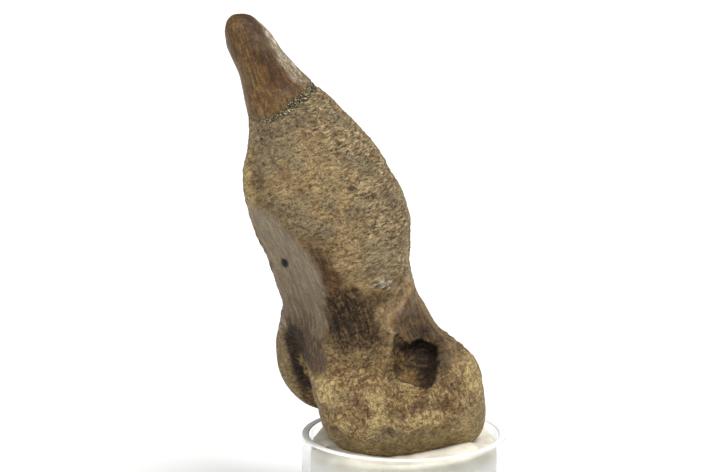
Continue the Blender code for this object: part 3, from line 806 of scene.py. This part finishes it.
# Each zone's colours, darkest first, and the pattern that picks between them. A later zone lies
# over the earlier ones.
STONE_COLOURS = (
    ("base", "tone", ((0.0, "725d3a"), (0.35, "8f754e"), (0.6, "a3895d"), (1.0, "c8ad75"))),
    ("waist", "veined", ((0.0, "3d2c19"), (0.4, "745e3e"), (0.7, "937a52"), (1.0, "c0a878"))),
    ("flank", "wave", ((0.0, "5c4a32"), (0.4, "927d5c"), (0.65, "a8936d"), (1.0, "cbb588"))),
    ("margin", "tone", ((0.0, "7a653a"), (0.5, "b9a06a"), (1.0, "e2cc8c"))),
    ("trough", "tone", ((0.0, "43361f"), (0.5, "766346"), (1.0, "9d8961"))),
    ("clay", "tone", ((0.0, "514430"), (0.5, "7f6d51"), (1.0, "a3916d"))),
    ("condyle", "veined", ((0.0, "3b2916"), (0.35, "785d3b"), (0.6, "a08456"), (1.0, "d8c08a"))),
    ("ochre", "veined", ((0.0, "64502e"), (0.4, "a88e5a"), (1.0, "e0c98f"))),
    ("band", "tone", ((0.0, "433623"), (0.45, "725f3d"), (0.75, "907a4d"), (1.0, "b7a068"))),
    ("umber", "veined", ((0.0, "2e2013"), (0.4, "5c4730"), (1.0, "957b55"))),
    ("brow", "streak", ((0.0, "2c1a0b"), (0.5, "54391b"), (1.0, "7f5f39"))),
    # The neck's near-black is partly its own dark stone and partly painted shade in the recess.
    ("neck", "stringy", ((0.0, "130a04"), (0.45, "392614"), (1.0, "8e744b"))),
    ("neck_foot_shade", "stringy", ((0.0, "0e0703"), (0.45, "2b1b0d"), (1.0, "765d39"))),
    ("shoulder", "stringy", ((0.0, "2a1d10"), (0.5, "513c25"), (1.0, "8a7049"))),
    ("ridge", "veined", ((0.0, "372817"), (0.5, "69543a"), (1.0, "a58e66"))),
    # The ledge and the glints: pale colours as painted highlights.
    ("ledge_and_highlights", "wave", ((0.0, "4e402e"), (0.5, "7d6e57"), (1.0, "c9c0ac"))),
    ("facet", "streak", ((0.0, "4f4331"), (0.5, "706149"), (1.0, "8f8064"))),
    # The hollow darkens towards its foot as painted shade low in the recess.
    ("facet_foot_shade", "streak", ((0.0, "261808"), (0.5, "432d14"), (1.0, "6e532c"))),
    # The groove's darkness is partly its own dark fill and partly painted shade down in the slot.
    ("groove", "tone", ((0.0, "0b0603"), (0.5, "22160a"), (1.0, "4e3b21"))),
    ("groove_floor", "tone", ((0.0, "2a1b0e"), (0.4, "614829"), (1.0, "ac8c57"))),
    ("crumbs", "tone", ((0.0, "1c1208"), (0.4, "4c381d"), (1.0, "a48a56"))),
    ("pit_shade", "stringy", ((0.0, "150d06"), (0.5, "332416"), (1.0, "6a5337"))),
    # The pit's near-black is painted shade inside it, and its floor is painted lighter as painted light.
    ("pit", "tone", ((0.0, "0c0703"), (0.5, "20150b"), (1.0, "503a22"))),
    ("pit_floor_light", "tone", ((0.0, "261a0e"), (0.4, "5e4628"), (1.0, "a5854f"))),
    ("head", "stringy", ((0.0, "2c1b09"), (0.5, "573d1b"), (1.0, "8d7240"))),
    ("head_dark", "stringy", ((0.0, "1f1104"), (0.5, "3f260c"), (1.0, "6e4e25"))),
    # The head flat's near-white is a painted highlight, strongest near the top.
    ("head_flat_highlight", "streak", ((0.0, "665539"), (0.45, "978870"), (1.0, "efe9dc"))),
    ("seam", "grit_tone", ((0.0, "100d08"), (0.45, "443c2b"), (0.7, "74674c"), (1.0, "cdc093"))),
    # Painted shade inside the small holes.
    ("holes", "tone", ((0.0, "0c0805"), (1.0, "1d140c"))),
)
colour = None
for zone, driver, stops in STONE_COLOURS:
    shades = add(tree, "ShaderNodeValToRGB", {"Fac": pattern[driver]}, stops).outputs["Color"]
    if colour is None:
        colour = shades
    else:
        layer = {"Factor": masks[zone], 6: colour, 7: shades}
        colour = add(tree, "ShaderNodeMix", layer, data_type="RGBA").outputs[2]

# Iron stains the crust red-brown in small patches, and clay greys it in others.
for stain, code, share in (("iron_stain", "66431f", 0.6), ("clay_stain", "776b54", 0.5)):
    where = {0: pattern[stain], 1: masks["stained"]}
    full = add(tree, "ShaderNodeMath", where, operation="MULTIPLY").outputs[0]
    amount = add(tree, "ShaderNodeMath", {0: full, 1: share}, operation="MULTIPLY").outputs[0]
    layer = {"Factor": amount, 6: colour, 7: linear(code)}
    colour = add(tree, "ShaderNodeMix", layer, data_type="RGBA").outputs[2]

# The crackle is darker in its cracks and rubbed lighter on its crests.
CRACKLE_SHADES = ((0.0, "787878"), (0.35, "dcdcdc"), (0.7, "ffffff"))
shade = add(tree, "ShaderNodeValToRGB", {"Fac": pattern["crackle"]}, CRACKLE_SHADES).outputs["Color"]
layer = {"Factor": masks["coarse"], 6: colour, 7: shade}
colour = add(tree, "ShaderNodeMix", layer, data_type="RGBA", blend_type="MULTIPLY").outputs[2]
tree.links.new(colour, shader.inputs["Base Color"])

# Brushed and consolidated stone: a low polish where it is smooth, and dull where it is crusted.
POLISHED = 0.40
CRUST_DULLNESS = 0.26
dulled = {0: masks["coarse"], 1: CRUST_DULLNESS, 2: POLISHED}
gloss = add(tree, "ShaderNodeMath", dulled, operation="MULTIPLY_ADD")
tree.links.new(gloss.outputs[0], shader.inputs["Roughness"])
shader.inputs["Specular IOR Level"].default_value = 0.28
fibres_up = {"Height": pattern["fibre"], "Strength": 0.8, "Distance": FIBRE_DEPTH}
bump = add(tree, "ShaderNodeBump", fibres_up).outputs[0]
for name, zone, depth in (
    ("roughened", "coarse", CRACK_DEPTH),
    ("folds", "flank", FOLD_DEPTH),
    ("veins", "grooved", VEIN_DEPTH),
):
    raised = {"Height": pattern[name], "Strength": masks[zone], "Distance": depth, "Normal": bump}
    bump = add(tree, "ShaderNodeBump", raised).outputs[0]
tree.links.new(bump, shader.inputs["Normal"])

metatarsal.data.materials.append(stone)
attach(metatarsal, "root")
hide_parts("metatarsal")


# ---------------------------------------------------------------------------
# Putty bed.
# Cream reusable putty, rolled by hand and pressed into the cup with a thumb. The bone pushes it
# aside, so it stands in low mounds round the bone and drops away to the wall.
# ---------------------------------------------------------------------------

CUP_RADIUS = 22.25
CUP_WALL = 1.6
GAP = 0.3
PUTTY_RADIUS = CUP_RADIUS - CUP_WALL - GAP
PUTTY_MIDDLE = -1.4
PUTTY_AT_WALL = -3.6
PUTTY_FRONT_DROP = 2.2
PUTTY_SHOULDER = 2.0
# Round mounds and, where the height is below zero, dips: x, y, height and radius.
MOUNDS = ((-12.5, 11.0, 3.0, 6.0), (15.5, 8.5, 1.4, 6.5), (13.0, -11.0, 1.5, 6.0),
          (-3.0, -16.5, -0.8, 6.0), (-18.0, -4.5, -1.6, 1.3))
# It swells a little where it is pressed against the bone, and the bone sinks into it.
PUTTY_SWELL = 0.5
PUTTY_SWELL_REACH = 1.0
PUTTY_SINK = 0.12
PUTTY_RINGS = 96
PUTTY_STEPS = 220
PUTTY_SIDE_ROWS = 12


def putty_level(points):
    """Top of the putty above the rim: flat, then a quarter ellipse down to the wall, with round
    mounds and dips as bell curves and two sizes of noise."""
    x, y = points[..., 0], points[..., 1]
    from_wall = np.clip((PUTTY_RADIUS - np.hypot(x, y))/PUTTY_SHOULDER, 0, 1)
    share = np.sqrt(1 - (1 - from_wall)**2)
    at_wall = PUTTY_AT_WALL - PUTTY_FRONT_DROP*np.clip(-y/PUTTY_RADIUS, 0, 1)**2
    level = at_wall + share*(PUTTY_MIDDLE - at_wall)
    for mound_x, mound_y, height, radius in MOUNDS:
        level = level + share*height*np.exp(-((x - mound_x)**2 + (y - mound_y)**2)/radius**2)
    flat = points * (1, 1, 0)
    return level + 0.45*noise(flat, 7.0, 81) + 0.18*noise(flat, 2.6, 82)


def bone_underside(points):
    """Lowest height above the rim at which the bone is met over each point, searched downwards in
    steps, or far above the putty where there is no bone."""
    top, foot, step, no_bone = 6.0, -5.0, 0.25, 9.0
    lowest = np.full(points.shape[:-1], no_bone)
    for height in np.arange(top, foot - step/2, -step):
        inside = bone(points*(1, 1, 0) + above_rim((0, 0, height))) < 0
        lowest = np.where(inside, height, lowest)
    return lowest


turn = np.linspace(0, 1, PUTTY_RINGS)[:, None] * np.ones(PUTTY_STEPS)
around = np.linspace(0, 2*np.pi, PUTTY_STEPS, endpoint=False) * np.ones((PUTTY_RINGS, 1))
top_net = np.stack([PUTTY_RADIUS*turn*np.cos(around), PUTTY_RADIUS*turn*np.sin(around), 0*turn], -1)
level = putty_level(top_net)
near_bone = np.maximum(bone(top_net + (RIM + level)[..., None]*(0, 0, 1)), 0)
swell = PUTTY_SWELL*np.exp(-(near_bone/PUTTY_SWELL_REACH)**2)
level = level + swell*ease(PUTTY_RADIUS*(1 - turn), 0, 2)
level = np.minimum(level, bone_underside(top_net) + PUTTY_SINK)
top_net[..., 2] = RIM + level
side_heights = np.linspace(1, 0, PUTTY_SIDE_ROWS)[1:, None] * np.ones(PUTTY_STEPS)
edge = top_net[-1]
floor_height = CUP_WALL + GAP
side_net = np.stack([
    edge[:, 0]*np.ones_like(side_heights),
    edge[:, 1]*np.ones_like(side_heights),
    floor_height + side_heights*(edge[:, 2] - floor_height),
], -1)
foot_net = side_net[-1:] * np.array([[[0.97, 0.97, 1]], [[0.6, 0.6, 1]], [[0.0, 0.0, 1]]])
putty = net_mesh("putty_bed", np.concatenate([top_net, side_net, foot_net]))

# Oil-based putty, kneaded and thumbed: a soft matt cream with faint smears. Where it is pressed
# flat against the clear wall, low down, it is painted paler as painted light, for the light the acrylic
# would pass to it.
SMEAR_SIZE = 4.0
SMEARS = ((0.35, "d3ccba"), (0.65, "e6e0d0"))
# Heights over which the putty is painted paler, as painted light.
LIGHTENED_FROM, LIGHTENED_TO = RIM - 3.0, RIM - 5.0
putty_stuff, tree, shader = new_material("museum_putty")
here = add(tree, "ShaderNodeTexCoord").outputs["Object"]
kneaded = {"Vector": here, "Scale": 1/(SMEAR_SIZE*MM), "Detail": 4.0}
smear = add(tree, "ShaderNodeTexNoise", kneaded).outputs["Fac"]
shades = add(tree, "ShaderNodeValToRGB", {"Fac": smear}, SMEARS)
height = add(tree, "ShaderNodeSeparateXYZ", {"Vector": here}).outputs["Z"]
below = {"Value": height, "From Min": LIGHTENED_FROM*MM, "From Max": LIGHTENED_TO*MM}
painted_light_low = add(tree, "ShaderNodeMapRange", below)
lightened = {"Factor": painted_light_low.outputs[0], 6: shades.outputs["Color"], 7: linear("f5f2ea")}
cream = add(tree, "ShaderNodeMix", lightened, data_type="RGBA").outputs[2]
tree.links.new(cream, shader.inputs["Base Color"])
dents = add(tree, "ShaderNodeBump", {"Height": smear, "Strength": 0.35, "Distance": 0.6*MM})
tree.links.new(dents.outputs[0], shader.inputs["Normal"])
shader.inputs["Roughness"].default_value = 0.6
putty.data.materials.append(putty_stuff)
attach(putty, "root")
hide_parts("putty")


# ---------------------------------------------------------------------------
# Display cup.
# A short length of clear acrylic tube, sawn off and cemented to an acrylic disc, with its corners
# eased. It carries the putty, and so the bone.
# ---------------------------------------------------------------------------

CUP_HEIGHT = RIM
CUP_EDGE = 0.3
CUP_FILLET = 0.6
CUP_STEPS = 256
SCUFF_SIZE = 1.0
ACRYLIC_IOR = 1.49
LIP_DEPTH = 0.25
# A ring of points this far past each corner keeps the flats flat under smooth shading.
EDGE_HOLD = 0.08


def corner_arc(centre, radius, start, end, count=7):
    """Points of a round corner: (radius from the axis, height) at even angles from start to end."""
    angle = np.radians(np.linspace(start, end, count))
    return np.stack([centre[0] + radius*np.cos(angle), centre[1] + radius*np.sin(angle)], -1)


def turned(outline, steps):
    """Net of an outline of (radius, height) carried once round the Z axis."""
    around = np.linspace(0, 2*np.pi, steps, endpoint=False)
    radius, height = outline[:, :1], outline[:, 1:]
    return np.stack([radius*np.cos(around), radius*np.sin(around), height*np.ones(steps)], -1)


inner = CUP_RADIUS - CUP_WALL
middle = CUP_HEIGHT/2
lip_start = CUP_HEIGHT - CUP_EDGE
rim_start = CUP_RADIUS - CUP_EDGE
cup_outline = np.concatenate([
    [(0, CUP_WALL), (inner*0.5, CUP_WALL), (inner - CUP_FILLET - EDGE_HOLD, CUP_WALL)],
    corner_arc((inner - CUP_FILLET, CUP_WALL + CUP_FILLET), CUP_FILLET, 270, 360),
    [(inner, CUP_WALL + CUP_FILLET + EDGE_HOLD), (inner, middle), (inner, lip_start - EDGE_HOLD)],
    corner_arc((inner + CUP_EDGE, lip_start), CUP_EDGE, 180, 90),
    [(inner + CUP_EDGE + EDGE_HOLD, CUP_HEIGHT), (rim_start - EDGE_HOLD, CUP_HEIGHT)],
    corner_arc((rim_start, lip_start), CUP_EDGE, 90, 0),
    [(CUP_RADIUS, lip_start - EDGE_HOLD), (CUP_RADIUS, middle), (CUP_RADIUS, CUP_EDGE + EDGE_HOLD)],
    corner_arc((rim_start, CUP_EDGE), CUP_EDGE, 0, -90),
    [(rim_start - EDGE_HOLD, 0), (inner*0.5, 0), (0, 0)],
])
cup = net_mesh("clear_cup", turned(cup_outline, CUP_STEPS))

# Saw-cut acrylic, sanded and not polished: its scuffs scatter the light, so it looks frosted white;
# its near-white is also painted light for the glow that clear acrylic carries to its cut edge.
# Real scuffs are too fine to show, so they are drawn at 1 mm.
FROST_AND_GLOW = ((0.35, "eff0ef"), (0.65, "fafbfa"))
lip, tree, shader = new_material("saw_cut_acrylic")
here = add(tree, "ShaderNodeTexCoord").outputs["Object"]
sanded = {"Vector": here, "Scale": 1/(SCUFF_SIZE*MM), "Detail": 4.0}
scuffs = add(tree, "ShaderNodeTexNoise", sanded).outputs["Fac"]
frost_and_glow = add(tree, "ShaderNodeValToRGB", {"Fac": scuffs}, FROST_AND_GLOW)
tree.links.new(frost_and_glow.outputs["Color"], shader.inputs["Base Color"])
dull = add(tree, "ShaderNodeMapRange", {"Value": scuffs, "To Min": 0.45, "To Max": 0.75})
tree.links.new(dull.outputs[0], shader.inputs["Roughness"])
marks = add(tree, "ShaderNodeBump", {"Height": scuffs, "Strength": 0.4, "Distance": 0.1*MM})
tree.links.new(marks.outputs[0], shader.inputs["Normal"])
shader.inputs["IOR"].default_value = ACRYLIC_IOR
shader.inputs["Transmission Weight"].default_value = 0.08

# Cast acrylic as it comes from the mould, clear and glossy: only its edges and reflections show.
acrylic, tree, shader = new_material("clear_acrylic")
shader.inputs["Base Color"].default_value = linear("fcfdfc")
shader.inputs["Roughness"].default_value = 0.03
shader.inputs["IOR"].default_value = ACRYLIC_IOR
shader.inputs["Transmission Weight"].default_value = 1.0
cup.data.materials.append(acrylic)
cup.data.materials.append(lip)
heights = np.empty(len(cup.data.polygons)*3)
cup.data.polygons.foreach_get("center", heights)
on_lip = heights[2::3] > (CUP_HEIGHT - LIP_DEPTH)*MM
cup.data.polygons.foreach_set("material_index", on_lip.astype(np.int32))
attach(cup, "root")
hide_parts("display_cup")


# ---------------------------------------------------------------------------
# Table, light and camera.
# A plain pale card laid flat, one large soft lamp up to the right, and a lamp low on the left
# that only fills the shadows. Lengths are metres here.
# ---------------------------------------------------------------------------

CAMERA_RISE = np.radians(12.1)
CAMERA_DISTANCE = 0.700
CAMERA_AIM = (-0.01085, 0.0, 0.0638)
FRAME_WIDTH = 0.1523616
SENSOR = 36.0
TABLE_HALF = 4.0
TABLE_TOP = -0.0001
ROOM_LIGHT = 0.44

floor_mesh = bpy.data.meshes.new("table")
corners = [(-TABLE_HALF, -TABLE_HALF, TABLE_TOP), (TABLE_HALF, -TABLE_HALF, TABLE_TOP),
           (TABLE_HALF, TABLE_HALF, TABLE_TOP), (-TABLE_HALF, TABLE_HALF, TABLE_TOP)]
floor_mesh.from_pydata(corners, [], [(0, 1, 2, 3)])
table = bpy.data.objects.new("table", floor_mesh)
bpy.context.scene.collection.objects.link(table)
# Matt card: it takes soft shadows and shows nothing else.
card, tree, shader = new_material("white_card")
shader.inputs["Base Color"].default_value = linear("f7f7f6")
shader.inputs["Roughness"].default_value = 0.9
table.data.materials.append(card)

world = bpy.data.worlds.new("studio")
world.use_nodes = True
room = world.node_tree.nodes["Background"]
room.inputs["Color"].default_value = linear("ffffff")
room.inputs["Strength"].default_value = ROOM_LIGHT
bpy.context.scene.world = world
bpy.context.scene.view_settings.view_transform = "Standard"

# Lamps far away: name, direction, width in degrees and power.
LAMPS = (
    ("key_lamp", (0.42, -0.52, 1.20), 30.0, 2.95),
    ("fill_lamp", (-0.80, -0.60, 0.45), 60.0, 0.85),
)
for name, place, width, power in LAMPS:
    lamp_data = bpy.data.lights.new(name, "SUN")
    lamp_data.angle = np.radians(width)
    lamp_data.energy = power
    lamp = bpy.data.objects.new(name, lamp_data)
    lamp.rotation_euler = Vector(place).to_track_quat("Z", "Y").to_euler()
    bpy.context.scene.collection.objects.link(lamp)

camera_data = bpy.data.cameras.new("camera")
camera_data.sensor_width = SENSOR
camera_data.lens = SENSOR/FRAME_WIDTH * CAMERA_DISTANCE
camera = bpy.data.objects.new("camera", camera_data)
offset = Vector((0, -np.cos(CAMERA_RISE), np.sin(CAMERA_RISE))) * CAMERA_DISTANCE
camera.location = Vector(CAMERA_AIM) + offset
camera.rotation_euler = (-offset).to_track_quat("-Z", "Y").to_euler()
bpy.context.scene.collection.objects.link(camera)
bpy.context.scene.camera = camera
